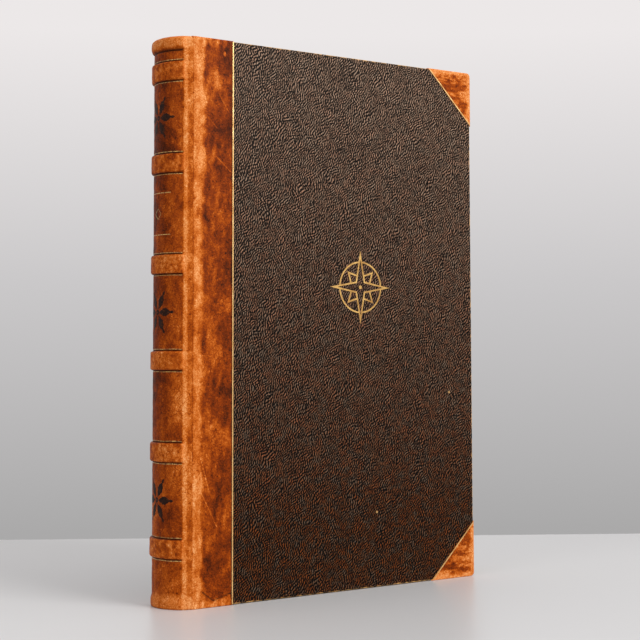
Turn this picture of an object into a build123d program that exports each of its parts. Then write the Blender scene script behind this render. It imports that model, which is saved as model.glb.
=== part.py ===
from build123d import *
from math import cos, radians, sin, sqrt
import os

# Overall sizes of the closed book, in millimetres
book_height = 460.0
book_thickness = 54.0
board_reach = 292.0  # from the hinge crease to the fore-edge

# Covering materials and boards
leather_thickness = 1.1
cloth_thickness = 0.4
board_thickness = 3.0
turn_in_thickness = 0.4  # what is folded round onto the inside is pared thin
turn_in_width = 15.0
endpaper_thickness = 0.25
pastedown_margin = 3.0
board_set_back = 3.0  # from the crease to the board's spine-side edge
hinge_gap = 0.15  # from the crease to the leather on each side of it
crease_depth = 0.6
edge_radius = 0.9
corner_radius = 2.5

# Leather and gilding on the covers
leather_on_board = 37.5
corner_leg = 49.4
gilt_line_width = 1.0
gilt_thickness = 0.12

# Spine section
joint_width = 6.3
shoulder_drop = 3.4  # from the cover's face to the spine's shoulder
spine_round = 11.2  # how far the back stands out from its shoulders
inlay_thickness = 1.0
paste_gap = 0.1  # between the leather and the inlay
hollow_gap = 0.5
lining_thickness = 0.9
inlay_end_gap = 9.0

# Raised bands, from the tail up
band_above_tail = 47.2
band_below_head = 28.5
band_shifts = (0, -0.46, -3.92, -3.18, 1.76, 0)  # each band's place above even spacing
band_width = 15.5
band_rise = 2.0
band_edge_radius = 1.6
band_overhang = 0.4  # how far a band's end stands past the shoulder
core_inset = 0.7  # leather over a band's end
tooling_end_gap = 0.8  # from the tooling's end to the shoulder

# Head and tail caps
head_cap_height = 11.0
head_cap_rise = 2.4
head_cap_radius = 2.2
tail_cap_height = 10.0
tail_cap_rise = 0.9
tail_cap_radius = 0.8
cap_lip = 4.4

# Text block
board_square = 5.0  # how far the boards stand past the leaves
block_clearance = 0.2
fore_edge_hollow = 6.0
endband_depth = 4.0
endband_height = 3.2
endband_radius = 1.2
tape_count = 5
tape_width = 16.0
tape_thickness = 0.5
tape_end_margin = 60.0

# Tooling on the spine
line_height = 0.8
line_offset = 1.6
tooling_thickness = 0.12
tool_stroke = 0.9
flower_petals = 6
petal_start = 2.8
petal_length = 11.5
petal_width = 7.2
bud_length = 4.2
bud_width = 2.6
flower_centre_radius = 2.3
compartment_tooling = ("flower", "plain", "flower", "title", "flower")  # from the tail up
title_line_length = 30.0
title_line_gap = 34.0
title_lozenge_radius = 5.0

# Compass rose on the front cover
rose_height = 259.0
rose_from_crease = 166.0
rose_radius = 32.0
rose_waist = 7.0
minor_ray_radius = 19.5
minor_ray_waist = 9.5
ring_radius = 22.5
rose_dot = 1.6
rose_stroke = 1.4
rose_points = 4  # long rays, with as many short ones between them

# Places worked out from the sizes
half_thickness = book_thickness / 2
spine_reach = joint_width + spine_round + head_cap_rise
crease_x = spine_reach - (spine_reach + board_reach) / 2
fore_edge_x = crease_x + board_reach
front_y = -half_thickness
leather_inner_depth = leather_thickness + board_thickness
inner_depth = leather_inner_depth + turn_in_thickness

half_chord = half_thickness - shoulder_drop
spine_radius = (half_chord**2 + spine_round**2) / (2 * spine_round)
spine_centre_x = crease_x - joint_width - spine_round + spine_radius
joint_slope = (shoulder_drop - crease_depth) / joint_width
under_leather_radius = spine_radius - leather_thickness
inlay_radius = under_leather_radius - paste_gap
lining_radius = inlay_radius - inlay_thickness - hollow_gap
back_radius = lining_radius - lining_thickness
band_half = half_chord + band_overhang
inlay_half = half_chord - 2 * leather_thickness
tooling_half = half_chord - tooling_end_gap

block_half = half_thickness - inner_depth - endpaper_thickness - block_clearance
leaves_half = block_half - endpaper_thickness
block_low = board_square
block_high = book_height - board_square
block_fore_x = fore_edge_x - board_square
block_back_x = spine_centre_x - sqrt(back_radius**2 - leaves_half**2)

band_pitch = (book_height - band_above_tail - band_below_head) / (len(band_shifts) - 1)
band_heights = []
for index, shift in enumerate(band_shifts):
    band_heights.append(band_above_tail + index * band_pitch + shift)

from_low_corner = (Align.MIN, Align.MIN, Align.MIN)


def save(part, name):
    """Labels a finished piece and writes it as one file."""
    part.label = name
    export_step(part, f"parts/{name}.step")


def spine_section(depth):
    """The plan of the spine at a depth under its outer surface, from its back to the crease."""
    reach = joint_width + spine_round + leather_thickness
    wide = half_thickness - crease_depth - depth * sqrt(1 + joint_slope**2)
    narrow = wide - joint_slope * reach
    with BuildSketch() as section:
        with Locations((spine_centre_x, 0)):
            Circle(spine_radius - depth)
        with BuildLine():
            Polyline(
                (crease_x - hinge_gap, -wide),
                (crease_x - hinge_gap, wide),
                (crease_x - reach, narrow),
                (crease_x - reach, -narrow),
                close=True,
            )
        make_face(mode=Mode.INTERSECT)
    return section.sketch


def arc_section(inner_radius, outer_radius, half_width):
    """The plan of a curved strip of the back, within half_width of the book's middle."""
    with BuildSketch() as section:
        with Locations((spine_centre_x, 0)):
            Circle(outer_radius)
            Circle(inner_radius, mode=Mode.SUBTRACT)
            Rectangle(
                outer_radius,
                2 * half_width,
                align=(Align.MAX, Align.CENTER),
                mode=Mode.INTERSECT,
            )
    return section.sketch


def back_strip(inner_radius, outer_radius, half_width, low_z, height):
    """A curved strip of the back as a solid."""
    with BuildPart() as strip:
        with BuildSketch(Plane.XY.offset(low_z)):
            add(arc_section(inner_radius, outer_radius, half_width))
        extrude(amount=height)
    return strip.part


def swelling(low_z, height, rise, half_width, radius):
    """A rounded swelling that stands out from the spine's surface by rise."""
    with BuildPart() as body:
        add(back_strip(under_leather_radius, spine_radius + rise, half_width, low_z, height))
        fillet(body.faces().sort_by(Axis.X)[0].edges(), radius)
    return body.part


os.makedirs("parts", exist_ok=True)

# Text block: the leaves, with a rounded back and a hollow fore-edge
with BuildPart() as text_block:
    with BuildSketch(Plane.XY.offset(block_low)):
        with BuildLine():
            Line((block_back_x, -leaves_half), (block_fore_x, -leaves_half))
            ThreePointArc(
                (block_fore_x, -leaves_half),
                (block_fore_x - fore_edge_hollow, 0),
                (block_fore_x, leaves_half),
            )
            Line((block_fore_x, leaves_half), (block_back_x, leaves_half))
            ThreePointArc(
                (block_back_x, leaves_half),
                (spine_centre_x - back_radius, 0),
                (block_back_x, -leaves_half),
            )
        make_face()
    extrude(amount=block_high - block_low)
save(text_block.part, "text_block")

# Free endpapers
with BuildPart() as flyleaf:
    with Locations((block_back_x, -block_half, block_low)):
        Box(
            block_fore_x - block_back_x,
            endpaper_thickness,
            block_high - block_low,
            align=from_low_corner,
        )
save(flyleaf.part, "front_flyleaf")
save(mirror(flyleaf.part, about=Plane.XZ), "rear_flyleaf")

# Endbands
with BuildPart() as head_band:
    add(
        back_strip(
            back_radius - endband_depth,
            back_radius,
            leaves_half - endband_radius,
            block_high,
            endband_height,
        )
    )
    fillet(head_band.faces().sort_by(Axis.Z)[-1].edges(), endband_radius)
save(head_band.part, "head_band")
save(mirror(head_band.part, about=Plane.XY.offset(book_height / 2)), "tail_band")

# Sewing tapes
tapes = []
tape_pitch = (book_height - 2 * tape_end_margin) / (tape_count - 1)
for index in range(tape_count):
    tape_z = tape_end_margin + index * tape_pitch - tape_width / 2
    tape = back_strip(
        back_radius, back_radius + tape_thickness, leaves_half, tape_z, tape_width
    )
    tapes.append(tape)
    save(tape, f"sewing_tape_{index + 1}")

# Mull and paper lining over the tapes
with BuildPart() as spine_lining:
    add(back_strip(back_radius, lining_radius, leaves_half, block_low, block_high - block_low))
    for tape in tapes:
        add(tape, mode=Mode.SUBTRACT)
save(spine_lining.part, "spine_lining")

# Card inlay of the hollow back
inlay = back_strip(
    inlay_radius - inlay_thickness,
    inlay_radius,
    inlay_half,
    inlay_end_gap,
    book_height - 2 * inlay_end_gap,
)
save(inlay, "spine_inlay")

# Raised bands: strips under the leather
bands = []
core_width = band_width - 2 * leather_thickness
for index, band_z in enumerate(band_heights):
    band = back_strip(
        under_leather_radius,
        under_leather_radius + band_rise,
        band_half - core_inset,
        band_z - core_width / 2,
        core_width,
    )
    bands.append(band)
    save(band, f"raised_band_{index + 1}")


def surface_strip(low_z, height):
    """A film over the leather of the back, as thick as the tooling."""
    return back_strip(
        spine_radius, spine_radius + tooling_thickness, tooling_half, low_z, height
    )


def compartment_middles(tooling):
    """The heights of the middles of the compartments between bands that have this tooling."""
    return [
        (low_band + high_band) / 2
        for low_band, high_band, own in zip(band_heights, band_heights[1:], compartment_tooling)
        if own == tooling
    ]


# Gold lines beside the bands
with BuildPart() as gilt_lines:
    for band_z in band_heights:
        for side in (-1, 1):
            line_z = band_z + side * (band_width / 2 + line_offset) - line_height / 2
            add(surface_strip(line_z, line_height))

# Plain gold tooling where a title would be
title_zs = compartment_middles("title")
title_height = title_line_gap + 2 * title_lozenge_radius
with BuildPart() as title_tooling:
    for title_z in title_zs:
        add(surface_strip(title_z - title_height / 2, title_height))
    with BuildSketch(Plane.YZ.offset(spine_centre_x)):
        for title_z in title_zs:
            with Locations((0, title_z + title_line_gap / 2), (0, title_z - title_line_gap / 2)):
                Rectangle(title_line_length, line_height)
            with Locations((0, title_z)):
                RegularPolygon(title_lozenge_radius, 4, rotation=0)
                RegularPolygon(
                    title_lozenge_radius - tool_stroke, 4, rotation=0, mode=Mode.SUBTRACT
                )
    extrude(amount=-2 * spine_radius, mode=Mode.INTERSECT)

with BuildPart() as spine_gilt:
    add(gilt_lines.part)
    add(title_tooling.part)
save(spine_gilt.part, "spine_gilt")


def lens(start, length, width):
    """A pointed leaf along the first axis of a sketch."""
    middle = start + length / 2
    with BuildSketch() as leaf:
        with BuildLine():
            ThreePointArc((start, 0), (middle, width / 2), (start + length, 0))
            ThreePointArc((start + length, 0), (middle, -width / 2), (start, 0))
        make_face()
    return leaf.sketch


# One flower of pointed petals round a small boss, as a flat figure
with BuildSketch() as petal:
    add(lens(petal_start, petal_length, petal_width))
    add(lens(petal_start + petal_length - bud_width / 2, bud_length, bud_width))
with BuildSketch() as flower:
    with PolarLocations(0, flower_petals):
        add(petal.sketch)
    Circle(flower_centre_radius)

# Flowers tooled on the spine
flower_reach = petal_start + petal_length + bud_length
flower_zs = compartment_middles("flower")
with BuildPart() as spine_flowers:
    for flower_z in flower_zs:
        add(surface_strip(flower_z - flower_reach, 2 * flower_reach))
    with BuildSketch(Plane.YZ.offset(spine_centre_x)):
        for flower_z in flower_zs:
            with Locations((0, flower_z)):
                add(flower.sketch)
    extrude(amount=-2 * spine_radius, mode=Mode.INTERSECT)
save(spine_flowers.part, "spine_flowers")

# Spine leather: a folded skin with swellings over the bands, a head cap and a tail cap
with BuildPart() as spine_leather:
    with BuildSketch():
        add(spine_section(0))
    extrude(amount=book_height)
    for band_z in band_heights:
        add(
            swelling(
                band_z - band_width / 2, band_width, band_rise, band_half, band_edge_radius
            )
        )
    add(
        swelling(
            book_height - head_cap_height,
            head_cap_height,
            head_cap_rise,
            band_half,
            head_cap_radius,
        )
    )
    add(swelling(0, tail_cap_height, tail_cap_rise, band_half, tail_cap_radius))
    with BuildSketch(Plane.XY.offset(leather_thickness)):
        add(spine_section(leather_thickness))
    extrude(amount=book_height - 2 * leather_thickness, mode=Mode.SUBTRACT)
    with BuildSketch():
        add(spine_section(cap_lip))
    extrude(amount=book_height, mode=Mode.SUBTRACT)
    for band in bands:
        add(band, mode=Mode.SUBTRACT)
save(spine_leather.part, "spine_leather")

# Front cover, drawn on its outer face and built inwards
cover_face = Plane(origin=(crease_x, front_y, 0), x_dir=(1, 0, 0), z_dir=(0, -1, 0))
into_book = -1.0  # extrusions from the face go against its outward normal


def face_sheet(depth):
    """The cover's own plane, moved into the book by depth."""
    return cover_face.offset(into_book * depth)


def board_outline(grow, low_x):
    """The board's outline from low_x, grown on three edges; its fore-edge corners are round."""
    right = board_reach - leather_thickness + grow
    low = leather_thickness - grow
    high = book_height - leather_thickness + grow
    with BuildSketch() as outline:
        with Locations((low_x, low)):
            Rectangle(right - low_x, high - low, align=(Align.MIN, Align.MIN))
        if corner_radius + grow > 0:
            fillet(outline.vertices().group_by(Axis.X)[-1], corner_radius + grow)
    return outline.sketch


with BuildPart() as front_board:
    with BuildSketch(face_sheet(leather_thickness)):
        add(board_outline(0, board_set_back))
    extrude(amount=into_book * board_thickness)
save(front_board.part, "front_board")
save(mirror(front_board.part, about=Plane.XZ), "rear_board")


def wrap(skin, low_x):
    """A covering of thickness skin over the board's face and three edges, and turned in."""
    with BuildPart() as covering:
        with BuildSketch(face_sheet(leather_thickness - skin)):
            add(board_outline(skin, low_x))
        extrude(amount=into_book * (skin + board_thickness + turn_in_thickness))
        outer_face = covering.faces().sort_by(Axis.Y)[0]
        fillet(outer_face.edges(), min(edge_radius, skin * 0.8))
        with BuildSketch(face_sheet(leather_thickness)):
            add(board_outline(0, low_x))
        extrude(amount=into_book * board_thickness, mode=Mode.SUBTRACT)
        with BuildSketch(face_sheet(leather_inner_depth)):
            add(board_outline(-turn_in_width, low_x))
        extrude(amount=into_book * turn_in_thickness, mode=Mode.SUBTRACT)
    return covering.part


def corner_outline(leg, high):
    """A right triangle in one fore-edge corner of the cover, at the head if high."""
    tip_z = book_height if high else 0
    inward = -1 if high else 1
    with BuildSketch() as outline:
        with BuildLine():
            Polyline(
                (board_reach, tip_z),
                (board_reach, tip_z + inward * leg),
                (board_reach - leg, tip_z),
                close=True,
            )
        make_face()
    return outline.sketch


def through_cover(outline):
    """A flat figure on the cover's face, pushed right through the cover."""
    with BuildPart() as prism:
        with BuildSketch(cover_face):
            add(outline)
        extrude(amount=into_book * inner_depth)
    return prism.part


def on_cover(outline, depth, thickness):
    """A flat figure as a thin sheet at a depth below the cover's outermost plane."""
    with BuildPart() as sheet:
        with BuildSketch(face_sheet(depth)):
            add(outline)
        extrude(amount=into_book * thickness)
    return sheet.part


# Gold lines along the edges of the leather
line_leg = corner_leg - gilt_line_width * sqrt(2)
with BuildSketch() as joint_line:
    with Locations((leather_on_board - gilt_line_width, edge_radius)):
        Rectangle(
            gilt_line_width, book_height - 2 * edge_radius, align=(Align.MIN, Align.MIN)
        )
corner_lines = []
for high in (True, False):
    with BuildSketch() as corner_line:
        add(corner_outline(corner_leg, high))
        add(corner_outline(line_leg, high), mode=Mode.SUBTRACT)
        with Locations((edge_radius, edge_radius)):
            Rectangle(
                board_reach - 2 * edge_radius,
                book_height - 2 * edge_radius,
                align=(Align.MIN, Align.MIN),
                mode=Mode.INTERSECT,
            )
    corner_lines.append(corner_line.sketch)
with BuildPart() as gilt_fillets:
    for line in [joint_line.sketch] + corner_lines:
        add(on_cover(line, 0, gilt_thickness))
save(gilt_fillets.part, "front_gilt_fillets")
save(mirror(gilt_fillets.part, about=Plane.XZ), "rear_gilt_fillets")

# Leather on the cover's spine side
with BuildSketch() as joint_outline:
    with Locations((hinge_gap, 0)):
        Rectangle(leather_on_board - hinge_gap, book_height, align=(Align.MIN, Align.MIN))
leather_skin = wrap(leather_thickness, hinge_gap)
with BuildPart() as joint_leather:
    add(leather_skin)
    add(through_cover(joint_outline.sketch), mode=Mode.INTERSECT)
    add(gilt_fillets.part, mode=Mode.SUBTRACT)
save(joint_leather.part, "front_joint_leather")
save(mirror(joint_leather.part, about=Plane.XZ), "rear_joint_leather")

# Leather corners
for high, name in ((True, "corner_head"), (False, "corner_tail")):
    with BuildPart() as corner:
        add(leather_skin)
        add(through_cover(corner_outline(corner_leg, high)), mode=Mode.INTERSECT)
        add(gilt_fillets.part, mode=Mode.SUBTRACT)
    save(corner.part, f"front_{name}")
    save(mirror(corner.part, about=Plane.XZ), f"rear_{name}")

# Grained side covering between the leathers
with BuildPart() as side_cloth:
    add(wrap(cloth_thickness, leather_on_board))
    for high in (True, False):
        add(through_cover(corner_outline(corner_leg, high)), mode=Mode.SUBTRACT)
save(side_cloth.part, "front_side_cloth")
save(mirror(side_cloth.part, about=Plane.XZ), "rear_side_cloth")

# Paper that fills the board's inside between the turn-ins, and the pastedown over both
infill = on_cover(
    board_outline(-turn_in_width, board_set_back), leather_inner_depth, turn_in_thickness
)
save(infill, "front_infill")
save(mirror(infill, about=Plane.XZ), "rear_infill")
pastedown = on_cover(
    board_outline(-pastedown_margin, board_set_back), inner_depth, endpaper_thickness
)
save(pastedown, "front_pastedown")
save(mirror(pastedown, about=Plane.XZ), "rear_pastedown")


def star(points, tip_radius, waist_radius, turn):
    """The outline of a star with the given number of points, turned by degrees."""
    corners = []
    for index in range(2 * points):
        angle = radians(turn + index * 180 / points)
        radius = tip_radius if index % 2 == 0 else waist_radius
        corners.append((radius * cos(angle), radius * sin(angle)))
    with BuildSketch() as figure:
        with BuildLine():
            Polyline(*corners, close=True)
        make_face()
    return figure.sketch


def outline_only(figure):
    """The line round the edge of a figure."""
    with BuildSketch() as line:
        add(figure)
        offset(amount=-rose_stroke, kind=Kind.INTERSECTION, mode=Mode.SUBTRACT)
    return line.sketch


# Compass rose in gold on the front cover
major_star = star(rose_points, rose_radius, rose_waist, 0)
minor_star = star(rose_points, minor_ray_radius, minor_ray_waist, 180 / rose_points)
with BuildSketch() as rose:
    Circle(ring_radius)
    Circle(ring_radius - rose_stroke, mode=Mode.SUBTRACT)
    add(outline_only(minor_star))
    add(major_star, mode=Mode.SUBTRACT)
    add(outline_only(major_star))
    Circle(rose_dot)
rose_spot = Location((rose_from_crease, rose_height))
ornament = on_cover(
    rose.sketch.moved(rose_spot),
    leather_thickness - cloth_thickness - gilt_thickness,
    gilt_thickness,
)
save(ornament, "front_ornament")
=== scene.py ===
# %% [markdown]
# # An atlas bound in half leather
#
# A big atlas stands on its tail: tan calf over the back and the corners, brown grained cloth
# on the sides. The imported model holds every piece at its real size, and this lesson gives
# each its surface. Lengths are a bookbinder's millimetres, made metres at the last step.

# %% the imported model
import functools
import math

import bpy
import numpy as np
from mathutils import Matrix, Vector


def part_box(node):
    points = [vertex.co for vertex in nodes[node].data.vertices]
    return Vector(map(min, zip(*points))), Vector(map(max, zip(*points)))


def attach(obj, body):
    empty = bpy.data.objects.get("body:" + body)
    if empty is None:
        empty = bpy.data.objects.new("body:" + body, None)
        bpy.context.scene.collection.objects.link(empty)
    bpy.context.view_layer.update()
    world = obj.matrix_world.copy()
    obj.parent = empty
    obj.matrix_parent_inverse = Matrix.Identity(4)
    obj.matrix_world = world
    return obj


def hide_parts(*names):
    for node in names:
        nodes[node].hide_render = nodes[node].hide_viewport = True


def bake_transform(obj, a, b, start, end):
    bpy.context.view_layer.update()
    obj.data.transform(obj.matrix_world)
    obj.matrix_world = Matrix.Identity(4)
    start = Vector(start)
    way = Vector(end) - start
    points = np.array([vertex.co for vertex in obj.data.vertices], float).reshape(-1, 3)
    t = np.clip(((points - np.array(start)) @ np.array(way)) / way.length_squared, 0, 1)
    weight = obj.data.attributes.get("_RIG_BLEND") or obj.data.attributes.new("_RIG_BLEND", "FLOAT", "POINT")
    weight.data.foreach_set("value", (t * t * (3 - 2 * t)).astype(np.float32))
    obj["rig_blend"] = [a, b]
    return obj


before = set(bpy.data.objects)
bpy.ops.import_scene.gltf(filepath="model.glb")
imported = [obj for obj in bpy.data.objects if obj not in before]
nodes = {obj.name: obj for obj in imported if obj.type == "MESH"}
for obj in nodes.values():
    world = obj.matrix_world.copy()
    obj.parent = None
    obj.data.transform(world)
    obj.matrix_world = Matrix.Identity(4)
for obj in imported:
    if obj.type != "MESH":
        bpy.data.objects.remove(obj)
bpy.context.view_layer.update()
print("pieces in the packed model:", len(nodes))

# %% [markdown]
# ## Sizes
#
# A cover is measured from its hinge crease towards the fore-edge, and the back from its
# middle. The values are those of the solids, so that a surface made here lies on them.

# %% sizes of the binding
MM = 0.001
BOOK_HEIGHT = 460.0
HALF_THICKNESS = 27.0
BOARD_REACH = 292.0
LEATHER = 1.1
BOARD = 3.0
TURN_IN = 0.4
TURN_IN_WIDTH = 15.0
BOARD_SET_BACK = 3.0
HINGE_GAP = 0.15
CREASE_DEPTH = 0.6
LEATHER_ON_BOARD = 37.5
JOINT_WIDTH = 6.3
SHOULDER_DROP = 3.4
SPINE_ROUND = 11.2
BAND_ZS = (47.2, 123.6, 197.0, 274.6, 356.4, 431.5)
BAND_WIDTH = 15.5
BAND_RISE = 2.0
HEAD_CAP = 11.0
HEAD_CAP_RISE = 2.4
TAIL_CAP = 10.0
TAIL_CAP_RISE = 0.9
CAP_LIP = 4.4
SIDES = (("front", -1), ("rear", 1))
HALF_CHORD = HALF_THICKNESS - SHOULDER_DROP
SPINE_RADIUS = (HALF_CHORD**2 + SPINE_ROUND**2) / (2 * SPINE_ROUND)
CREASE_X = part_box("front_joint_leather")[0].x / MM - HINGE_GAP
SPINE_CENTRE_X = CREASE_X - JOINT_WIDTH - SPINE_ROUND + SPINE_RADIUS
ARC_HALF = SPINE_RADIUS * math.asin(HALF_CHORD / SPINE_RADIUS)
STRIP = math.hypot(JOINT_WIDTH - HINGE_GAP, SHOULDER_DROP - CREASE_DEPTH)
BACK_HALF = ARC_HALF + STRIP
print("crease at x", round(CREASE_X, 2), "mm; half the back is", round(BACK_HALF, 1), "mm round")

# %% [markdown]
# ## Soft edges and unevenness
#
# A smooth step turns a distance into a soft edge. A sum of random cosine waves is a cheap
# smooth noise: it gives the small unevenness that hand work has, and the same each run.

# %% smooth steps and waves
WAVE_COUNT = 40


def soft(value):
    """3v^2 - 2v^3 of the value clamped to 0..1: 0 below 0, 1 above 1, smooth between."""
    v = np.clip(value, 0.0, 1.0)
    return v * v * (3.0 - 2.0 * v)


def hump(away, width):
    """A bell of height 1, exp of minus the square of the distance over the width."""
    return np.exp(-(away / width)**2)


def waves(u, v, shortest, longest, seed):
    """The mean of cosine waves over (u, v) with random directions and lengths, about -1 to 1."""
    rng = np.random.default_rng(seed)
    length = np.exp(rng.uniform(np.log(shortest), np.log(longest), WAVE_COUNT))
    angle = rng.uniform(0.0, 2.0 * np.pi, WAVE_COUNT)
    phase = rng.uniform(0.0, 2.0 * np.pi, WAVE_COUNT)
    total = np.zeros(np.broadcast(u, v).shape)
    for n in range(WAVE_COUNT):
        across = u * np.cos(angle[n]) + v * np.sin(angle[n])
        total += np.cos(2.0 * np.pi * across / length[n] + phase[n])
    return total / math.sqrt(WAVE_COUNT / 2.0) / 2.0


def near_line(u, v, start, end, width):
    """1 on the straight line from start to end, falling to 0 at width from it."""
    du, dv = end[0] - start[0], end[1] - start[1]
    along = ((u - start[0]) * du + (v - start[1]) * dv) / (du * du + dv * dv)
    along = np.clip(along, 0.0, 1.0)
    away = np.hypot(u - start[0] - along * du, v - start[1] - along * dv)
    return soft(1.0 - away / width)


def patch(u, v, centre, size):
    """1 inside an ellipse of half-sizes size round centre, fading to 0 over its outer half."""
    away = np.hypot((u - centre[0]) / size[0], (v - centre[1]) / size[1])
    return soft(2.0 - 2.0 * away)


print("a soft step at a quarter:", round(float(soft(0.25)), 3))

# %% [markdown]
# ## From a grid to a mesh
#
# A surface here is a grid of points. Its faces come from index arithmetic, so no loop walks
# over the vertices. A grid whose columns close on themselves is a tube, and with a cap on
# each end it is a closed shell, which is how every sheet and film of this book is made.

# %% grids to meshes
SHARP_DEGREES = 50


def grid(rows, columns):
    """Two arrays: the rows' value and the columns' value at each point of a grid."""
    return np.meshgrid(rows, columns, indexing="ij")


def grid_faces(rows, columns, loop):
    """Quads between neighbouring rows and columns; loop also joins the last column to the first."""
    r = np.arange(rows - 1)[:, None]
    c = np.arange(columns if loop else columns - 1)[None, :]
    beside = (c + 1) % columns
    quads = np.stack([r * columns + c, r * columns + beside,
                      (r + 1) * columns + beside, (r + 1) * columns + c], axis=-1)
    return quads.reshape(-1, 4)


def tube_faces(rows, columns, turned, start=0):
    """Quads round a tube and its two end caps, numbered from start; turned reverses them all."""
    quads = grid_faces(rows, columns, True) + start
    first = [start + n for n in range(columns)]
    last = [n + (rows - 1) * columns for n in first]
    if turned:
        return quads[:, ::-1], [first, last[::-1]]
    return quads, [first[::-1], last]


def build_mesh(name, points, faces, caps=()):
    """A smooth-shaded mesh object from points in millimetres, quads, and cap polygons."""
    mesh = bpy.data.meshes.new(name)
    everything = [tuple(f) for f in faces.tolist()] + [tuple(c) for c in caps]
    mesh.from_pydata((points.reshape(-1, 3) * MM).tolist(), [], everything)
    mesh.shade_smooth()
    mesh.set_sharp_from_angle(angle=math.radians(SHARP_DEGREES))
    made = bpy.data.objects.new(name, mesh)
    bpy.context.scene.collection.objects.link(made)
    return made


def on_leaves(made, piece):
    """Rides a surface on the body of the leaves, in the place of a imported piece."""
    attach(made, "spine_and_leaves")
    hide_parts(piece)


def bend_at_hinge(made, side_name, side, start, end):
    """Blends a sheet from the leaves to a cover, between two distances from the crease."""
    y = side * HALF_THICKNESS * MM
    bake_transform(made, "spine_and_leaves", f"{side_name}_cover",
             start=((CREASE_X + start) * MM, y, 0.23), end=((CREASE_X + end) * MM, y, 0.23))


def paint(made, **layers):
    """Stores numbers per vertex for the material to read, one layer for each name."""
    for name, values in layers.items():
        layer = made.data.attributes.new(name, "FLOAT", "POINT")
        values = np.ascontiguousarray(values, dtype=np.float32)
        layer.data.foreach_set("value", values.ravel())


def mark_place(made):
    """Stores where each vertex lies at rest, in millimetres, so that patterns don't slide."""
    place = np.empty(len(made.data.vertices) * 3, dtype=np.float32)
    made.data.vertices.foreach_get("co", place)
    layer = made.data.attributes.new("place", "FLOAT_VECTOR", "POINT")
    layer.data.foreach_set("vector", place / MM)


print("a tube of 3 by 4 points has", len(tube_faces(3, 4, False)[0]), "quads and 2 caps")

# %% [markdown]
# ## Colours and nodes
#
# Colours are written as they look on a screen and turned to linear light once. One function
# adds any node, with its operation after the kind: plain values fill its inputs in order,
# names with a capital letter the input of that name, and the rest are the node's settings.

# %% colour and node helpers
def tint(hex_text, alpha=1.0):
    """Linear RGBA of an sRGB colour such as b06a30."""
    parts = [int(hex_text[n:n + 2], 16) / 255.0 for n in (0, 2, 4)]
    line = [p / 12.92 if p <= 0.04045 else ((p + 0.055) / 1.055) ** 2.4 for p in parts]
    return (*line, alpha)


def add_node(tree, kind, *values, out=0, stops=(), **named):
    """Adds a shader node and gives one of its outputs; stops are (position, colour) of a ramp."""
    kind, *operation = kind.split()
    made = tree.nodes.new("ShaderNode" + kind)
    if operation:
        made.operation = operation[0]
    for key in [k for k in named if k.islower()]:
        setattr(made, key, named.pop(key))
    named = {key.replace("_", " "): value for key, value in named.items()}
    for key, value in [*enumerate(values), *named.items()]:
        if isinstance(value, bpy.types.NodeSocket):
            tree.links.new(value, made.inputs[key])
        else:
            made.inputs[key].default_value = value
    for index, (position, colour) in enumerate(stops):
        elements = made.color_ramp.elements
        spot = elements[index] if index < 2 else elements.new(position)
        spot.position, spot.color = position, tint(colour)
    return made.outputs[out] if made.outputs else made


def new_material(name, roughness, specular=0.5):
    """A Principled material with a constant finish: the node adder, and the shader's inputs."""
    material = bpy.data.materials.new(name)
    material.use_nodes = True
    shader = material.node_tree.nodes["Principled BSDF"]
    shader.inputs["Roughness"].default_value = roughness
    shader.inputs["Specular IOR Level"].default_value = specular
    return material, functools.partial(add_node, material.node_tree), shader.inputs


def finish_material(material, node, inputs, colour, height, depth_mm, strength=1.0):
    """Links the colour, and a bump whose height of 1 stands depth_mm proud."""
    links = material.node_tree.links
    links.new(colour, inputs["Base Color"])
    bump = node("Bump", Strength=strength, Distance=depth_mm * MM, Height=height, out="Normal")
    links.new(bump, inputs["Normal"])
    return material


def object_place(node):
    """Object coordinates in millimetres."""
    return node("VectorMath SCALE", node("TexCoord", out="Object"), Scale=1 / MM)


print("tan in linear light:", [round(part, 3) for part in tint("b06a30")[:3]])

# %% [markdown]
# ## The leather over the back
#
# The leather is one skin pasted round the back. Its plan is a circle between two straight
# joints, so a point of it is a distance round the back and a height. Bands, caps and dents
# are then a lift along the surface's normal: a height field on a curved sheet. Solids with
# fillets could make the bands, but not the way that leather dives in beside them.

# %% plan of the back
SHOULDER_BEND = 1.6  # the leather turns round the shoulder over this width


def back_plan(round_mm):
    """Place and outward normal on the back at a distance round it, 0 at the middle.

    On the arc: centre + R (-cos a, sin a) with a = distance / R. Past the shoulder: straight
    along the joint to the crease. Positive distances are on the rear side."""
    side = np.sign(round_mm)
    reach = np.abs(round_mm)
    angle = np.minimum(reach, ARC_HALF) / SPINE_RADIUS
    past = np.clip(reach - ARC_HALF, 0.0, None)
    slope = np.array([JOINT_WIDTH - HINGE_GAP, SHOULDER_DROP - CREASE_DEPTH]) / STRIP
    x = SPINE_CENTRE_X - SPINE_RADIUS * np.cos(angle) + past * slope[0]
    y = SPINE_RADIUS * np.sin(angle) + past * slope[1]
    turn = soft((reach - ARC_HALF) / SHOULDER_BEND + 0.5)
    nx = -np.cos(angle) * (1 - turn) - slope[1] * turn
    ny = np.sin(angle) * (1 - turn) + slope[0] * turn
    size = np.hypot(nx, ny)
    return x, y * side, nx / size, ny * side / size


def back_points(round_mm, z, lift):
    """Points at a height z, each moved by its lift along the back's normal."""
    x, y, nx, ny = back_plan(round_mm)
    return np.stack([x + nx * lift, y + ny * lift, z], axis=-1)


print("middle of the back at x", round(float(back_plan(np.array(0.0))[0]), 2), "mm")

# %% [markdown]
# The bands are strips under the leather, which stands up over them with round edges and is
# nipped in tight beside them. The head cap is leather folded over the endband. Nothing on a
# hand-bound back is quite even, so the edges sway and the skin is a bit lumpy.

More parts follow.
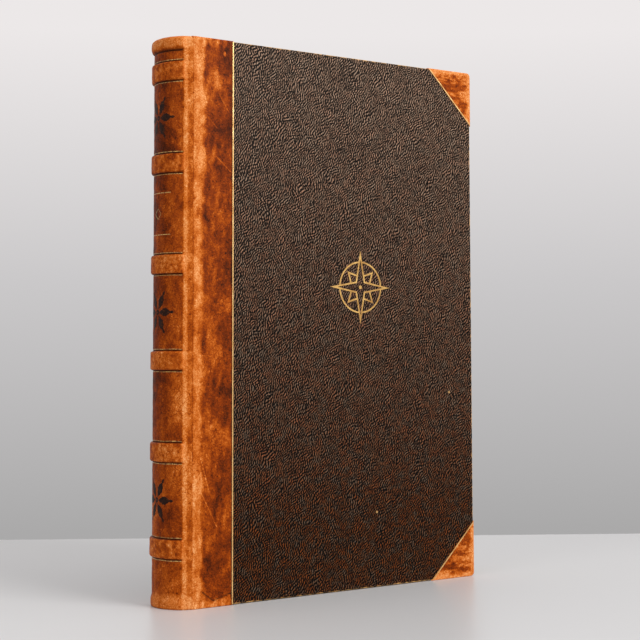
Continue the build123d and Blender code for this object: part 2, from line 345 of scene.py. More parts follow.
# %% how far the leather stands out
BAND_EDGE = 1.9  # radius of a band's long edges
BAND_SWAY = 0.25  # how far those edges wander
BAND_PAST_SHOULDER = 0.6
BAND_END_SLOPE = 2.2
DENT_DEPTH = 0.3  # the nip beside a band
DENT_WIDTH = 0.5
TUCK_DEPTH = 0.45  # the tied line under the head cap
TUCK_WIDTH = 0.8
TUCK_BELOW = 0.6
FOOT_SLOPE = 5.0
COARSE_LUMPS = 0.10
FINE_LUMPS = 0.05


def band_lift(z):
    """Height of the bands at height z: flat on top, a quarter circle down at both edges."""
    lift = np.zeros_like(z)
    for centre in BAND_ZS:
        edge = BAND_WIDTH / 2 - np.abs(z - centre)
        fall = (1 - edge / BAND_EDGE).clip(0, 1)
        lift = np.maximum(lift, BAND_RISE * np.sqrt(np.clip(1 - fall**2, 0, 1)))
    return lift


def back_lift(round_mm, z):
    """How far the leather stands out from the plain back, in millimetres.

    The sum of the bands, less a dent beside each, the head cap as half an ellipse, less the
    tuck below it, and a soft rise at the foot, all fading at the shoulder, and of waves."""
    reach = np.abs(round_mm)
    sway = BAND_SWAY * waves(round_mm, z * 0.1, 18.0, 60.0, 3)
    on_band = soft((ARC_HALF + BAND_PAST_SHOULDER - reach) / BAND_END_SLOPE)
    lift = band_lift(z + sway) * on_band
    beside = np.zeros_like(z)
    for centre in BAND_ZS:
        gap = np.abs(z + sway - centre) - BAND_WIDTH / 2
        beside += hump(gap - DENT_WIDTH, DENT_WIDTH)
    lift -= DENT_DEPTH * beside * soft((ARC_HALF - 0.5 - reach) / 1.5)
    on_back = soft((ARC_HALF + 1.5 - reach) / 4.0)
    from_head = BOOK_HEIGHT - z
    half_cap = HEAD_CAP / 2
    cap = np.sqrt(np.clip(1 - ((from_head - half_cap) / half_cap)**2, 0, 1))
    lift += HEAD_CAP_RISE * cap * on_back * (from_head < HEAD_CAP)
    lift -= TUCK_DEPTH * hump(from_head - HEAD_CAP - TUCK_BELOW, TUCK_WIDTH) * on_back
    lift += TAIL_CAP_RISE * soft((TAIL_CAP - z) / FOOT_SLOPE) * on_back
    uneven = COARSE_LUMPS * waves(round_mm, z, 5.0, 30.0, 8)
    uneven += FINE_LUMPS * waves(round_mm, z, 2.0, 6.0, 9)
    return lift + uneven * soft((BACK_HALF - reach) / 3.0)


print("a band stands", round(float(band_lift(np.array(BAND_ZS[0]))), 2), "mm proud")

# %% [markdown]
# ## Rows where they are needed
#
# Even rows would waste faces on the flat compartments. Counting rows by a density that rises
# near the bands' edges puts short steps only where the leather bends sharply.

# %% rows up the book
ROW_STEP = 0.95
FINE_ROW_STEP = 0.38
FINE_REACH = 2.6


def dense_heights(coarse, fine, places, reach):
    """Heights from 0 to the book's height: steps of coarse, and of fine within reach of places."""
    wanted = np.linspace(0.0, BOOK_HEIGHT, 4001)
    step = np.full_like(wanted, coarse)
    for place in places:
        step = np.where(np.abs(wanted - place) < reach, fine, step)
    count = np.concatenate([[0.0], np.cumsum(np.diff(wanted) / step[1:])])
    even = np.linspace(0.0, count[-1], int(count[-1]) + 1)
    return np.interp(even, count, wanted)


band_edges = [z + side * BAND_WIDTH / 2 for z in BAND_ZS for side in (-1, 1)]
heights = dense_heights(ROW_STEP, FINE_ROW_STEP, band_edges + [BOOK_HEIGHT - HEAD_CAP], FINE_REACH)
print("rows up the book:", len(heights))

# %% [markdown]
# ## The back's skin as a closed shell
#
# Leather shows its thickness at the caps, where it rolls over and goes inside. So the skin is
# a loop up the outside, over the head and down the inside, and carried round the back it is
# a tube, with a cap at each crease.

# %% the back's skin
HEAD_ROLL = 2.6
TAIL_ROLL = 1.4
ROLL_STEPS = 7
INSIDE_ROWS = 12
AROUND_STEPS = 97
LIP_LIFT = 0.6  # the caps' lips follow the outside's lift by this share


def back_skin(name):
    """The skin as a closed loop up the outside, over the head cap and back inside, swept round.

    Each row of the loop is a depth under the outer surface and a height. Rows on the outside
    are lifted by back_lift; the rolls at head and tail are quarter circles."""
    rolls = np.radians(np.linspace(0, 90, ROLL_STEPS))
    outer = heights[(heights > TAIL_ROLL) & (heights < BOOK_HEIGHT - HEAD_ROLL)]
    tail_depth = TAIL_ROLL * (1 - np.cos(rolls[::-1]))
    tail_z = TAIL_ROLL * (1 - np.sin(rolls[::-1]))
    head_depth = HEAD_ROLL * (1 - np.cos(rolls))
    head_z = BOOK_HEIGHT - HEAD_ROLL * (1 - np.sin(rolls))
    inside_low, inside_high = LEATHER, BOOK_HEIGHT - LEATHER
    inside = np.linspace(inside_high, inside_low, INSIDE_ROWS)
    depth = np.concatenate([[CAP_LIP], tail_depth, np.zeros_like(outer), head_depth,
                            [CAP_LIP, CAP_LIP], np.full(INSIDE_ROWS, LEATHER), [CAP_LIP]])
    z = np.concatenate([[0.0], tail_z, outer, head_z,
                        [BOOK_HEIGHT, inside_high], inside, [inside_low]])
    lifted = np.concatenate([[LIP_LIFT], np.ones(len(outer) + 2 * ROLL_STEPS), [LIP_LIFT, 0.0],
                             np.zeros(INSIDE_ROWS), [0.0]])
    around = np.linspace(-BACK_HALF, BACK_HALF, AROUND_STEPS)
    s, zz = grid(around, z)
    points = back_points(s, zz, back_lift(s, zz) * lifted[None, :] - depth[None, :])
    return build_mesh(name, points, *tube_faces(*s.shape, True)), s, zz


spine_skin, spine_s, spine_z = back_skin("spine_skin")
print("spine skin:", len(spine_skin.data.polygons), "faces")

# %% [markdown]
# ## Wear and painted shade on the back
#
# Leather shows its life in colour. It is pale and dry where hands and shelves rub it, dark
# where old dressing and dirt stay. Three numbers per vertex, rubbed, stained and a painted shade
# in the creases, hold the places that were seen on this book; the material adds the fine mottling.

# %% rubbing and stains on the back
SHOULDER_RUB = 0.78
CAP_RUB = 0.65
FOOT_RUB = 0.6
BAND_RUB = 0.28
JOINT_SHADE = 0.62  # painted shade: the share of the shoulder's paleness taken back in the joint's groove
FOOT_HEIGHT = 13.0
STAIN = 0.68
PALE_LOW = (150.0, 60.0)  # below this height the stains fade, over this length


def paint_back(made, s, z):
    """Writes rubbed, stained and a painted shade on the back's skin.

    Rubbed adds up soft steps over the shoulder, the cap, the foot and the bands, and waves, less a
    painted shade in the joint's groove. Stained fills the compartments, broken by waves. The painted
    shade is humps along the bands' edges and under the head cap, where the leather dives in."""
    reach = np.abs(s)
    ragged = 1.2 * waves(s, z, 3.0, 14.0, 21) + 2.0 * waves(s, z * 0.5, 12.0, 50.0, 22)
    shoulder = soft((reach - ARC_HALF + 1.6 + 0.15 * ragged) / 1.3)
    # painted shade: the joint's groove is drawn darker than the shoulder
    shoulder *= 1 - JOINT_SHADE * soft((reach - ARC_HALF - 1.8) / 1.8)
    on_band = np.zeros_like(z)
    crease = np.zeros_like(z)
    for centre in BAND_ZS:
        gap = np.abs(z - centre) - BAND_WIDTH / 2
        on_band = np.maximum(on_band, soft(0.5 - gap / 2.0))
        # painted shade: a dark hump along each band's edge, where the leather dives in
        crease = np.maximum(crease, hump(gap - 0.35, 0.55))
    from_head = BOOK_HEIGHT - z
    cap = soft((HEAD_CAP - from_head + 0.4 * ragged) / 3.0)
    foot = soft((FOOT_HEIGHT - z + ragged) / 5.0)
    rubbed = SHOULDER_RUB * shoulder + CAP_RUB * cap + FOOT_RUB * foot
    rubbed += on_band * (1 - shoulder) * (BAND_RUB + 0.3 * waves(s, z, 3.0, 12.0, 25))
    rubbed += 0.14 * waves(s, z, 6.0, 40.0, 23)
    between = (1 - on_band) * (1 - cap) * (1 - foot)
    stained = between * soft((ARC_HALF - 4.0 - reach + 2.0 * ragged) / 16.0)
    lightened = 0.6 * soft((PALE_LOW[0] - z) / PALE_LOW[1])
    stained *= STAIN + 0.35 * waves(s, z, 8.0, 60.0, 24) - lightened
    # painted shade in the tuck under the head cap
    tuck = hump(from_head - HEAD_CAP - 0.8, 0.9)
    inner = soft((ARC_HALF - 0.5 - reach) / 2.0)
    paint(made, rubbed=np.clip(rubbed, 0, 1), stained=np.clip(stained, 0, 1),
          creased=np.clip(crease * inner + tuck * inner, 0, 1))


paint_back(spine_skin, spine_s, spine_z)
mark_place(spine_skin)
on_leaves(spine_skin, "spine_leather")
print("layers on the back:", len(spine_skin.data.attributes))

# %% [markdown]
# ## The leather on the covers
#
# The same skin goes on over the joint and a hand's breadth onto each board. It is turned in
# over head and tail. Its crease side bends when the cover opens, so it follows the back up
# to the hinge and the cover after it.

# %% face of the leather on a cover
CLIMB_WIDTH = 2.6
DIP_X = 8.5
DIP_WIDTH = 3.0
DIP_DEPTH = 0.16
GROOVE_WIDTH = 1.7
GROOVE_DEPTH = 0.14
FACE_SINK = 0.06
UNDER_BACK = 0.12
JOINT_SLOPE = (SHOULDER_DROP - CREASE_DEPTH) / JOINT_WIDTH


def cover_depth(x, z):
    """Depth of the leather's face below the cover's outermost plane.

    It climbs from the crease to the ridge over the board's edge, dips a little behind the
    ridge, and has a narrow groove that the gold line lies in. Before the crease it goes down
    under the leather of the back."""
    climb = CREASE_DEPTH * (1 - soft((x + HINGE_GAP) / CLIMB_WIDTH))
    dip = DIP_DEPTH * hump(x - DIP_X, DIP_WIDTH)
    groove = GROOVE_DEPTH * soft((x - LEATHER_ON_BOARD + GROOVE_WIDTH) / 0.5)
    uneven = 0.05 * waves(x, z, 4.0, 30.0, 31) + 0.03 * waves(x, z, 1.5, 5.0, 32)
    settle = soft((x - 0.5) / 3.0)
    under_back = UNDER_BACK * soft((-HINGE_GAP - x) / 0.4) + JOINT_SLOPE * np.clip(-x, 0, 1)
    return climb + dip + groove + (FACE_SINK + uneven) * settle + under_back


print("mean depth:", round(float(cover_depth(np.linspace(1, 37, 99), np.zeros(99)).mean()), 2))

# %% [markdown]
# A cover's leather is a tube too. Its loop goes round head and tail, so the turn-ins are part
# of it. Its columns lie close together at the crease and at the gold line's groove.

# %% leather over the joint and the board
EDGE_ROLL = 1.0
TURN_LIP = 0.3
EDGE_STEPS = 6
HIDDEN_ROWS = 6
COVER_XS = np.concatenate([
    [-1.0, -0.6], np.linspace(-HINGE_GAP, 6.0, 17), np.linspace(6.7, 35.0, 38),
    [35.6, 35.9, 36.2, 36.6, 37.1, LEATHER_ON_BOARD]])


def cover_skin(name, side):
    """The skin as a closed loop round head and tail, carried from crease to leather's edge.

    The loop runs up the face, over the head edge, down the turn-in, and back inside, where
    the sheet is thin near the crease. side is -1 on the front cover and 1 on the rear."""
    roll = np.radians(np.linspace(0, 90, EDGE_STEPS))
    roll_depth, roll_z = EDGE_ROLL * (1 - np.cos(roll)), EDGE_ROLL * (1 - np.sin(roll))
    face = heights[(heights > EDGE_ROLL) & (heights < BOOK_HEIGHT - EDGE_ROLL)]
    board_face = LEATHER + BOARD
    inner = board_face + TURN_IN
    turned_z = BOOK_HEIGHT - TURN_IN_WIDTH
    hidden_z = np.linspace(BOOK_HEIGHT - LEATHER, LEATHER, HIDDEN_ROWS)
    loop_depth = np.concatenate([
        [inner, inner - TURN_LIP], roll_depth[::-1], np.zeros_like(face), roll_depth,
        [inner - TURN_LIP, inner, inner, board_face, board_face],
        np.full(HIDDEN_ROWS, LEATHER), [board_face, board_face, inner]])
    loop_z = np.concatenate([
        [TURN_LIP, 0.0], roll_z[::-1], face, BOOK_HEIGHT - roll_z,
        [BOOK_HEIGHT, BOOK_HEIGHT - TURN_LIP, turned_z, turned_z, BOOK_HEIGHT - LEATHER],
        hidden_z, [LEATHER, TURN_IN_WIDTH, TURN_IN_WIDTH]])
    x, z = grid(COVER_XS, loop_z)
    depth = np.broadcast_to(loop_depth, x.shape)
    face_depth = cover_depth(x, z)
    deep = soft((x - 1.6) / 1.2)
    under = np.maximum(LEATHER + (depth - LEATHER) * deep, LEATHER) + face_depth * (1 - deep)
    sunk = np.where(depth < LEATHER, face_depth * (1 - depth / inner) + depth, under)
    points = np.stack([CREASE_X + x, side * (HALF_THICKNESS - sunk), z], axis=-1)
    return build_mesh(name, points, *tube_faces(*x.shape, side < 0)), x, z, depth


def line_inside(made, inside):
    """Marks the faces between four inside points, so that they take the second material."""
    both = inside & np.roll(inside, -1, axis=1)
    flags = (both[:-1] & both[1:]).astype(np.int32).ravel()
    every = np.zeros(len(made.data.polygons), dtype=np.int32)
    every[:len(flags)] = flags
    made.data.polygons.foreach_set("material_index", every)


print("columns across a cover:", len(COVER_XS))

# %% [markdown]
# The covers rub most on the ridge over the joint and at head and tail. The front one has
# marks of its own: each is a line or an ellipse at its place from the crease and the tail.

# %% wear on the covers
SCRATCHES = (((21, 363), (36, 350), 0.7), ((1.5, 104), (22, 64), 0.6),
             ((3, 177), (9, 179), 0.7), ((5, 181), (6.5, 174), 0.7),
             ((13, 395), (22, 386), 0.6), ((24, 414), (33, 400), 0.6),
             ((7, 120), (15, 92), 0.5))
DARK_PATCHES = ((1.5, (23, 22), (15, 17)), (0.9, (31, 447), (6.5, 7.5)))
CHIP = ((29, 448), (1.6, 2.6))
CUTS = (((9, 13), (19, 5.5)), ((19, 5.5), (36, 10)))
PITS = (((30, 284), (1, 1)), ((27.5, 279), (0.9, 0.9)))
RIDGE_X = 3.4
HEAD_RUB = 0.6
TAIL_RUB = 0.7


def paint_cover(made, x, z, side):
    """Writes rubbed, stained, and a painted shade with marks, on a cover's leather.

    Rubbed adds up soft steps over the ridge, which widens upwards, and over both ends.
    Stained grows away from the ridge. Both are broken by long waves. The painted shade is a hump
    along the groove of the gold line. The front cover's own marks are added, cuts and pits with it."""
    ragged = 1.5 * waves(x, z * 0.6, 4.0, 20.0, 41 + side)
    ragged += 1.5 * waves(x, z * 0.3, 10.0, 40.0, 43 + side)
    wide = 5.0 + 2.5 * soft((z - 250.0) / 150.0) + 1.2 * soft((60.0 - z) / 50.0)
    ridge = soft((wide + 2.0 + 0.8 * ragged - np.abs(x - RIDGE_X)) / 4.5)
    ridge *= soft((x + 0.5) / 1.4)
    head_edge = soft((9.0 + 2.0 * ragged - (BOOK_HEIGHT - z)) / 6.0)
    tail_edge = soft((8.0 + 1.5 * ragged - z) / 3.5)
    rubbed = (0.8 + 0.24 * soft((z - 250.0) / 120.0)) * ridge
    rubbed += HEAD_RUB * head_edge + TAIL_RUB * tail_edge
    uneven = 0.28 + 0.12 * soft((z - 300.0) / 100.0)
    rubbed += uneven * waves(x, z * 0.6, 5.0, 36.0, 45 + side)
    stained = 0.2 + 0.15 * soft((z - 90.0) / 60.0)
    cloudy = 0.6 + 0.4 * waves(x, z * 0.35, 6.0, 45.0, 47 + side)
    stained += soft((x - 16.0 + 2.0 * ragged) / 16.0) * cloudy
    stained += 0.5 * waves(x, z * 0.4, 5.0, 40.0, 49 + side)
    # painted shade along the groove beside the gold line
    creased = 0.75 * hump(x - LEATHER_ON_BOARD + 1.5, 0.5)
    if side < 0:
        for strength, centre, size in DARK_PATCHES:
            stained += strength * patch(x, z, centre, size)
        for start, end, width in SCRATCHES:
            rubbed += 0.9 * near_line(x, z, start, end, width)
        rubbed += 1.4 * patch(x, z, *CHIP)
        for start, end in CUTS:
            creased += 0.9 * near_line(x, z, start, end, 0.9)
        for centre, size in PITS:
            creased += patch(x, z, centre, size)
    paint(made, rubbed=np.clip(rubbed, 0, 1.02), stained=np.clip(stained, 0, 1),
          creased=np.clip(creased, 0, 1))


cover_skins = {}
linings = []
for side_name, side in SIDES:
    skin, x, z, depth = cover_skin(f"{side_name}_joint_skin", side)
    paint_cover(skin, x, z, side)
    mark_place(skin)
    bend_at_hinge(skin, side_name, side, 0.0, BOARD_SET_BACK)
    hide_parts(f"{side_name}_joint_leather")
    cover_skins[side_name] = skin
    linings.append((skin, (depth >= LEATHER) & (x < BOARD_SET_BACK + 4.0)))
    print(skin.name, len(skin.data.polygons), "faces")

# %% [markdown]
# ## Gold lines and flowers on the back
#
# A finisher presses heated brass tools through gold leaf for the lines, and without gold for
# the dark flowers. Both are films on the leather, so they use the leather's own surface
# function and lie a hair above it. Each is a closed pad whose rim dips into the leather.

# %% films on the back
FILM_ABOVE = 0.07
FILM_RIM = -0.04
FILM_UNDER = -0.12


def film(s, z):
    """A thin closed pad over a grid of (s, z): the grid raised, and again sunk, as a flat tube."""
    raised = np.full(s.shape, FILM_ABOVE)
    raised[0, :] = raised[-1, :] = raised[:, 0] = raised[:, -1] = FILM_RIM
    leather = back_lift(s, z)
    over, under = (back_points(s, z, leather + above) for above in (raised, FILM_UNDER))
    return np.concatenate([over, under[:, ::-1]], axis=1)


def join_films(name, films):
    """One object from several pads, with outward faces and capped ends.

    A pad is turned where its two directions' cross product points into it."""
    points, faces, caps, start = [], [], [], 0
    for tube in films:
        rows, columns = tube.shape[:2]
        quarter = columns // 4
        along = tube[1, quarter] - tube[0, quarter]
        across = tube[0, quarter + 1] - tube[0, quarter]
        outward = tube[0, quarter] - tube[0, columns - 1 - quarter]
        inside_out = np.dot(np.cross(across, along), outward) < 0
        quads, ends = tube_faces(rows, columns, inside_out, start)
        points.append(tube.reshape(-1, 3))
        faces.append(quads)
        caps += ends
        start += rows * columns
    return build_mesh(name, np.concatenate(points), np.concatenate(faces), caps)


print("a film stands", FILM_ABOVE, "mm above the leather")

# %% [markdown]
# A line runs along both edges of every band and wanders a little, as a hand-held tool does.
# Two short lines and a lozenge fill the compartment under the second band from the head.

# %% gold lines
LINE_HEIGHT = 0.8
LINE_OFFSET = 1.25
LINE_INSET = 1.2
LINE_WANDER = 0.15
PANEL_HALF = 15.0
PANEL_GAP = 34.0
LOZENGE = 5.0
LOZENGE_INSIDE = 0.8
line_reach = ARC_HALF - LINE_INSET
along_line = np.linspace(-line_reach, line_reach, 70)
across_line = np.linspace(-0.5, 0.5, 5) * LINE_HEIGHT
lines = []
for centre in BAND_ZS:
    for side in (-1, 1):
        s, dz = grid(along_line, across_line)
        wander = LINE_WANDER * waves(s, s * 0, 8.0, 30.0, int(centre))
        lines.append(film(s, centre + side * (BAND_WIDTH / 2 + LINE_OFFSET) + wander + dz))
panel_z = (BAND_ZS[3] + BAND_ZS[4]) / 2
for offset in (-PANEL_GAP / 2, PANEL_GAP / 2):
    s, dz = grid(np.linspace(-PANEL_HALF, PANEL_HALF, 40), across_line)
    lines.append(film(s, panel_z + offset + dz))
tips = np.array([(0, -1), (1, 0), (0, 1), (-1, 0), (0, -1)]) * LOZENGE
shrink = np.linspace(1.0, LOZENGE_INSIDE, 5)
for start, end in zip(tips, tips[1:]):
    leg = start + np.linspace(0, 1, 9)[:, None] * (end - start)
    lines.append(film(leg[:, :1] * shrink, panel_z + leg[:, 1:] * shrink))
gold_lines = join_films("gold_lines", lines)
on_leaves(gold_lines, "spine_gilt")
print("gold films:", len(lines))

# %% [markdown]
# A flower is six petals round an eye, with a bud at each tip: one engraved brass tool,
# pressed into every second compartment. Here a petal is a grid, turned to its six places.

# %% tooled flowers
PETALS = 6
PETAL = (2.2, 13.6, 6.8)  # start, length and width
BUD = (13.6, 5.0, 2.4)
EYE_RADIUS = 2.5
RIM_SWAY = 0.10
FLOWER_STRETCH = 1.08  # taller than wide
FLOWER_COMPARTMENTS = (1, 3, 5)


def petal_grid(start, length, width, angle):
    """A petal as a grid of (s, z) offsets, pointed at both ends.

    Its half-width is a skewed sine of the way along it, so it is widest beyond its middle,
    and its rim wanders by a few tenths of a millimetre."""
    t, w = grid(np.linspace(0.0, 1.0, 17), np.linspace(-1.0, 1.0, 9))
    half = 0.5 * width * np.sin(np.pi * t**1.1) ** 1.15
    half *= 1 + RIM_SWAY * np.sin(9 * np.pi * t + angle * 3)
    reach = start + length * t
    return (reach * math.cos(angle) - half * w * math.sin(angle),
            reach * math.sin(angle) + half * w * math.cos(angle))


turn, radius = grid(np.linspace(0, 2 * np.pi, 17), np.linspace(0.1, EYE_RADIUS, 5))
flower_films = []
for place in FLOWER_COMPARTMENTS:
    flower_z = (BAND_ZS[place - 1] + BAND_ZS[place]) / 2
    for n in range(PETALS):
        for shape in (PETAL, BUD):
            ds, dz = petal_grid(*shape, 2 * math.pi * n / PETALS)
            flower_films.append(film(ds, flower_z + dz * FLOWER_STRETCH))
    flower_films.append(film(radius * np.cos(turn), flower_z + radius * np.sin(turn)))
flowers = join_films("tooled_flowers", flower_films)
on_leaves(flowers, "spine_flowers")
print("flower films:", len(flower_films))

# %% [markdown]
# ## Endbands
#
# Silk is wound over a core at head and tail of the leaves. Each turn is a bead, and the
# colours change every few turns. A half-round carried along the back's curve, with its
# radius swelling once a turn, shows that in few faces.

# %% wound endbands
SILK_TURNS = 46
SILK_REACH = 20.0
SILK_INSET = 2.8
SILK_HALF_WIDTH = 1.75
SILK_RISE = 2.9
BEAD_SWELL = 0.14
TURN_STEPS = 6
ROUND_STEPS = 9


def endband(name, node, up):
    """A half-round along the leaves' back; its radius swells with |cos| of the turn count."""
    low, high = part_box(node)
    base = (low.z if up > 0 else high.z) / MM
    lining_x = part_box("spine_lining")[0].x / MM
    middle = SPINE_CENTRE_X - lining_x - SILK_INSET
    limit = math.asin(SILK_REACH / middle)
    a, b = grid(np.linspace(-limit, limit, SILK_TURNS * TURN_STEPS + 1),
                np.linspace(0, np.pi, ROUND_STEPS))
    turns = (a + limit) / (2 * limit) * SILK_TURNS
    bead = 1 - BEAD_SWELL + BEAD_SWELL * np.abs(np.cos(turns * np.pi))
    reach = middle + SILK_HALF_WIDTH * np.cos(b) * bead
    rise = SILK_RISE * np.sin(b) * bead
    points = np.stack([SPINE_CENTRE_X - reach * np.cos(a), reach * np.sin(a), base + up * rise],
                      axis=-1)
    made = build_mesh(name, points, *tube_faces(*a.shape, up < 0))
    paint(made, turn=turns)
    on_leaves(made, node)
    return made


head_silk = endband("head_silk", "head_band", 1)
tail_silk = endband("tail_silk", "tail_band", -1)
print("endbands:", head_silk.name, tail_silk.name)

# %% [markdown]
# ## The fold of the endpapers
#
# The pastedown and the flyleaf are the two halves of one sheet, and the fold between them
# bends whenever the cover opens. A thin closed sheet bridges them and bends with the hinge.
# It bends within a narrow strip before the crease, so that an open gutter shows only paper.

# %% endpaper folds
FOLD_BEND = (-1.1, -0.8)
FOLD_START = -1.2
FOLD_PAST_BOARD = 6.0
FOLD_SHORTER = 3.0
FOLD_PAPER = 0.1
PASTEDOWN = 0.25
PASTE = 0.04


def endpaper_fold(side_name, side):
    """A flat strip of paper from the leaves' shoulder to the pastedown, bending at the hinge."""
    low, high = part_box(f"{side_name}_pastedown")
    level = HALF_THICKNESS - LEATHER - BOARD - TURN_IN - PASTEDOWN - PASTE
    x, z = grid(np.linspace(FOLD_START, BOARD_SET_BACK + FOLD_PAST_BOARD, 25),
                np.linspace(low.z / MM + FOLD_SHORTER, high.z / MM - FOLD_SHORTER, 21))
    outer = np.stack([CREASE_X + x, np.full_like(x, side * level), z], axis=-1)
    inner = outer - np.array([0.0, side * FOLD_PAPER, 0.0])
    loop = np.concatenate([outer, inner[:, ::-1]], axis=1)
    made = build_mesh(f"{side_name}_paper_fold", loop, *tube_faces(*loop.shape[:2], side < 0))
    mark_place(made)
    bend_at_hinge(made, side_name, side, *FOLD_BEND)
    return made


paper_folds = [endpaper_fold(side_name, side) for side_name, side in SIDES]
print("endpaper folds:", len(paper_folds))

# %% [markdown]
# ## Tan calf
#
# Vegetable-tanned calf, paste-washed, polished and a century old. The eye sees a warm orange
# brown, cloudy with dark mottling, dry and pale on every ridge, with fine pores and hairline
# crackle. Age has dried it, so it hardly shines. The corners are solids with no painted
# numbers, so their wear follows the distance to the board's edges.

# %% calf material
CALF = ((0.0, "1c0800"), (1.0, "f8b478"), (0.2, "501c00"), (0.4, "823100"), (0.56, "a84a04"),
        (0.7, "c9681e"), (0.85, "e28e4c"))
CLOUD_MM = 22.0
BLOTCH_MM = 5.0
FLECK_MM = 2.4
CRACKLE_MM = 3.2
PORE_MM = 1.1  # real pores are about 0.2 mm apart, too fine to show, so they are drawn coarser
DRAWN_UP = (1.0, 1.0, 0.7)
DRAGGED = (0.6, 1.0, 1.6)


def edge_distance(node, place):
    """Distance to the nearest of a board's fore-edge, head and tail, in millimetres."""
    x, z = (node("SeparateXYZ", place, out=word) for word in "XZ")
    to_fore = node("Math SUBTRACT", CREASE_X + BOARD_REACH, x)
    to_head = node("Math SUBTRACT", BOOK_HEIGHT, z)
    to_end = node("Math MINIMUM", to_head, z)
    return node("Math MINIMUM", to_fore, to_end)


def corner_wear(node, place):
    """Rubbed and stained of a corner, with no painted shade: pale near the edges, with dark patches inside.
    """
    inset = node("Math SUBTRACT", edge_distance(node, place), 9.0)
    ragged = node("TexNoise", place, Scale=1 / 9, Detail=4.0, Roughness=0.65)
    from_edge = node("Math MULTIPLY_ADD", ragged, 18.0, inset)
    rubbed = node("MapRange", from_edge, 1.0, 7.0, 0.95, 0.6)
    dragged = node("VectorMath MULTIPLY", place, DRAGGED)
    patches = node("TexNoise", dragged, Scale=1 / 8, Detail=5.0, Roughness=0.7)
    patches = node("MapRange", patches, 0.42, 0.56, 0.0, 1.6)
    inside = node("MapRange", from_edge, 3.0, 7.0)
    return rubbed, node("Math MULTIPLY", inside, patches), 0.0


def tan_calf(name, corner):
    """Calf whose colour is a ramp over one sum.

    The sum is cloud and blotch, calmer where rubbed, pores, pale and dark flecks, a share of
    rubbed, less a share of stained and the hairlines between Voronoi cells. The painted shade in
    creases, and the cuts and pits, mix in a dark brown."""
    material, node, inputs = new_material(name, 0.5, 0.07)
    if corner:
        place = object_place(node)
        rubbed, stained, creased = corner_wear(node, place)
    else:
        place = node("Attribute", attribute_name="place", out="Vector")
        rubbed, stained, creased = (node("Attribute", attribute_name=word, out="Fac")
                                    for word in ("rubbed", "stained", "creased"))
    drawn = node("VectorMath MULTIPLY", place, DRAWN_UP)
    cloud = node("TexNoise", drawn, Scale=1 / CLOUD_MM, Detail=6.0, Roughness=0.62,
                 Distortion=0.6)
    blotch = node("TexNoise", drawn, Scale=1 / BLOTCH_MM, Detail=6.0, Roughness=0.75)
    pores = node("TexNoise", place, Scale=1 / PORE_MM, Detail=3.0, Roughness=0.8)
    fleck = node("TexNoise", place, Scale=1 / FLECK_MM, Detail=3.0, Roughness=0.6)
    level = node("Math MULTIPLY_ADD", cloud, 1.0, -0.775)
    level = node("Math MULTIPLY_ADD", blotch, 0.55, level)
    calmer = node("MapRange", rubbed, 0.2, 1.0, 1.0, 0.3)
    level = node("Math MULTIPLY", level, calmer)
    level = node("Math ADD", level, 0.09)
    pale_fleck = node("MapRange", fleck, 0.60, 0.70, 0.0, 0.16)
    dark_fleck = node("MapRange", fleck, 0.30, 0.39, -0.18, 0.0)
    cells = node("TexVoronoi", drawn, Scale=1 / CRACKLE_MM,
                 feature="DISTANCE_TO_EDGE", out="Distance")
    hairline = node("MapRange", cells, 0.0, 0.07, 1.0, 0.0)
    crackled = node("MapRange", cloud, 0.5, 0.62, 0.0, 0.22)
    crackle = node("Math MULTIPLY", hairline, crackled)
    for part, share in ((pores, 0.8), (pale_fleck, 1.0), (dark_fleck, 1.0), (rubbed, 0.36),
                        (stained, -0.20), (crackle, -1.0)):
        level = node("Math MULTIPLY_ADD", part, share, level)
    colour = node("ValToRGB", level, stops=CALF)
    # the painted shade of creases and the dark of cuts and pits: a dark brown mixed in
    colour = node("MixRGB", creased, colour, tint("1c0a03"))
    relief = node("Math MULTIPLY_ADD", pores, 0.6, blotch)
    return finish_material(material, node, inputs, colour, relief, 0.35, 0.6)


calf = tan_calf("vegetable_tanned_calf", False)
corner_calf = tan_calf("corner_calf", True)
for skin in (spine_skin, *cover_skins.values()):
    skin.data.materials.append(calf)
print("calf on", 1 + len(cover_skins), "skins")

# %% [markdown]
# ## Grained cloth
#
# Coated bookcloth, pressed between engraved rollers into a long wandering grain: ridges under
# 3 mm apart that branch like a fingerprint. The colour was wiped on and off, so the ridges
# are red brown and the valleys nearly black. Noise of a single band, cut at its middle, gives
# such ridges; Gabor noise is that band, and a slow twist of its space lets it wander.

# %% cloth material
GRAIN_MM = 3.75
GRAIN_WANDER = 10.0
GRAIN_TURN = 20
TWIST_MM = 26.0
HUE_MM = 6.0
FIBRE_MM = 0.8  # the cloth's threads are half as far apart, too fine to show
CLOTH_TOP = ((0.36, "645040"), (0.64, "804018"), (0.5, "6c4022"))
SHEEN_MOST = 0.54  # painted sheen: how much paler and greyer the cloth is drawn at the head
SPECKS = ((128.4, -26.6, 166.4), (46.8, -26.6, 64.5))
SPECK_MM = 1.3


